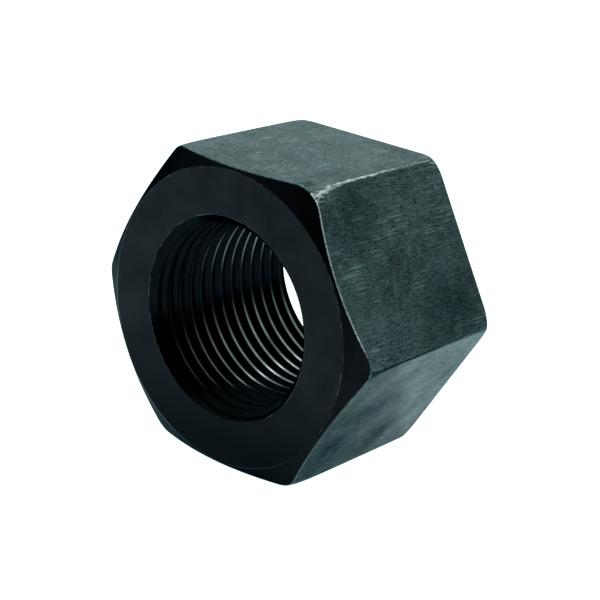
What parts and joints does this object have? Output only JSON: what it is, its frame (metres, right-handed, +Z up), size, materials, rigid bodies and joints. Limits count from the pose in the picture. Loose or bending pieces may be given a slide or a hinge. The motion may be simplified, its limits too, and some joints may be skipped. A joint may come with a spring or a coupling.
{
  "type": "hex nut",
  "caption": "Thick hexagon nut with a fine right-hand thread, one face with a wide chamfer and one with trimmed corners, black oxide steel.",
  "frame": {"origin": "on the thread axis, midway between the two faces", "axes": "+Y along the thread axis, from the chamfered face to the back face; +X across the corners; +Z up, out of the top wrench flat"},
  "size_m": [0.0344, 0.0198, 0.03],
  "materials": {
    "black_oxide_steel": "black oxide over forged and turned steel, satin, worn bright on the long edges"
  },
  "bodies": {
    "root": {"hex_nut": "black_oxide_steel"}
  },
  "joints": []
}
